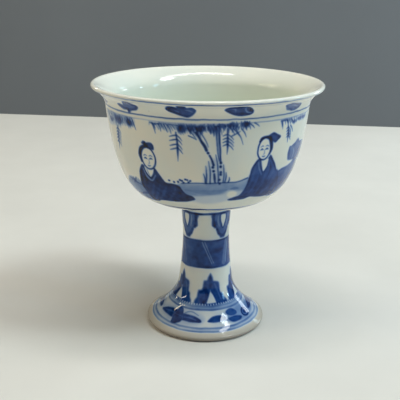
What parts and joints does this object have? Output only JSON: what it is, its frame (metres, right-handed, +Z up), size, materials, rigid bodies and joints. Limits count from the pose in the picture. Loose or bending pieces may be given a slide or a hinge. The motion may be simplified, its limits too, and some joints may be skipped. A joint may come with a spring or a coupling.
{
  "type": "stem cup",
  "caption": "Porcelain stem cup: deep bowl with a flared lip, luted to a slim hollow stem with a spreading foot, glazed and painted in blue.",
  "frame": {"origin": "centre of the foot ring, on the surface that the cup stands on", "axes": "+Z up along the axis of the cup; -Y towards the viewer of the picture, +X to the right"},
  "size_m": [0.1, 0.1, 0.1112],
  "materials": {
    "porcelain": "bare fired porcelain, matt, slightly burnt at the edge of the foot",
    "slip": "fired porcelain slip, matt",
    "inner_glaze": "glossy clear glaze with a faint green-blue tint",
    "painted_glaze": "glossy clear glaze over cobalt-blue brush painting"
  },
  "bodies": {
    "root": {"bowl": "porcelain", "stem": "porcelain", "foot": "porcelain", "bowl_luting_ring": "slip", "stem_luting_ring": "slip", "bowl_inner_glaze": "inner_glaze", "bowl_outer_glaze": "painted_glaze", "stem_glaze": "painted_glaze"}
  },
  "joints": []
}
